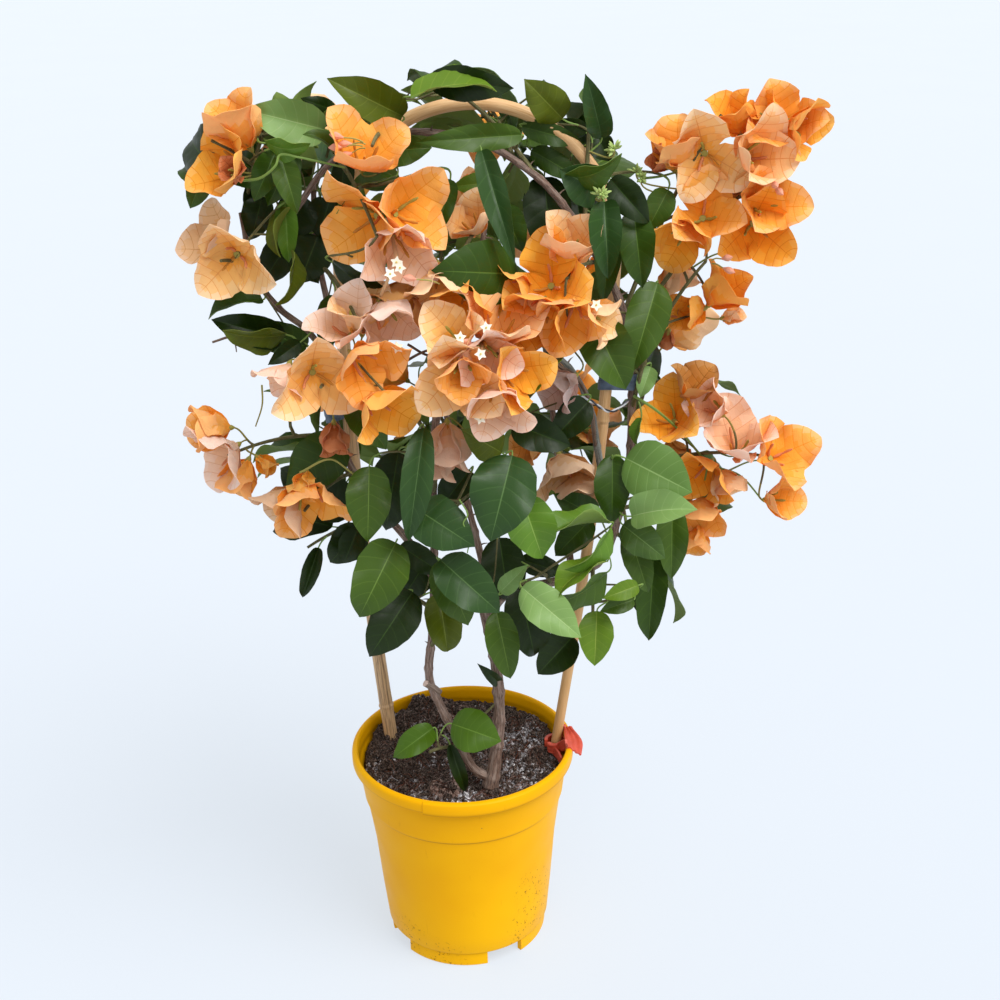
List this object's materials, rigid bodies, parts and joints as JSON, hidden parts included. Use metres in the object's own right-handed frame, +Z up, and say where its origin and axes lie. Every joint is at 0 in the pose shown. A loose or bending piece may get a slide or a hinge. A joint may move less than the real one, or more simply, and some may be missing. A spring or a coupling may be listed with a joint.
{
  "type": "potted bougainvillea bush",
  "caption": "Flowering climbing shrub with woody stems trained round a bent cane hoop, orange papery blooms and ovate leaves, in a tapered round nursery pot.",
  "frame": {"origin": "the middle of the pot's underside, on the plane that it stands on", "axes": "+Z up; the front of the plant looks along -Y, and +X is to its right as seen from the front"},
  "size_m": [0.4218, 0.2522, 0.6666],
  "materials": {
    "pot_plastic": "satin moulded plastic",
    "potting_soil": "crumbly, matte",
    "cane": "smooth dry cane",
    "clip_plastic": "satin moulded plastic",
    "tie_strip": "matte strip",
    "bark": "rough striated bark",
    "leaf": "satin leaf",
    "bract": "thin papery bract"
  },
  "bodies": {
    "root": {"pot": "pot_plastic", "soil": "potting_soil", "clip": "clip_plastic", "tie_right": "tie_strip", "tie_left": "tie_strip", "cane_leg_left": "cane", "cane_arch_left": "cane", "cane_arch_right": "cane", "cane_leg_right": "cane", "trunk": "bark", "stem_left": "bark", "bough_right": "bark", "bough_right_rise": "bark", "bough_arch_right": "bark", "bough_arch_left": "bark", "bough_left": "bark", "bough_left_upper": "bark", "bough_left_inner": "bark", "bough_grey": "bark", "bough_middle": "bark", "bough_back": "bark", "bough_back_right": "bark", "foliage_top_left": "leaf", "foliage_left_shoulder": "leaf", "foliage_top_left_leaves": "leaf", "foliage_front_top_left": "leaf", "foliage_front_upper_left": "bract", "foliage_front_left_middle": "bract", "foliage_front_left_low": "leaf", "foliage_front_left_inner": "leaf", "foliage_left_low_outer": "leaf", "foliage_left_low": "leaf", "foliage_middle_upper": "leaf", "foliage_middle_front": "bract", "foliage_right_front": "bract", "foliage_withered": "leaf", "foliage_right_high_outer": "bract", "foliage_right_high": "bract", "foliage_right_middle": "bract", "foliage_right_low_outer": "bract", "foliage_right_low": "leaf", "foliage_top_middle": "leaf", "foliage_top_right": "leaf", "foliage_right_leaves": "leaf", "foliage_middle_leaves": "leaf", "foliage_front_low_left": "leaf", "foliage_front_low_middle": "leaf", "foliage_front_low_right": "leaf", "foliage_low_right": "leaf", "foliage_right_low_leaves": "leaf", "foliage_left_low_leaves": "leaf", "foliage_low_shoot": "leaf", "foliage_back_middle": "leaf", "foliage_back_upper": "leaf", "foliage_back_right": "leaf", "foliage_back_right_low": "leaf", "foliage_back_left": "leaf", "foliage_back_left_upper": "leaf", "foliage_back_top": "leaf", "foliage_right_side": "leaf"}
  },
  "joints": []
}
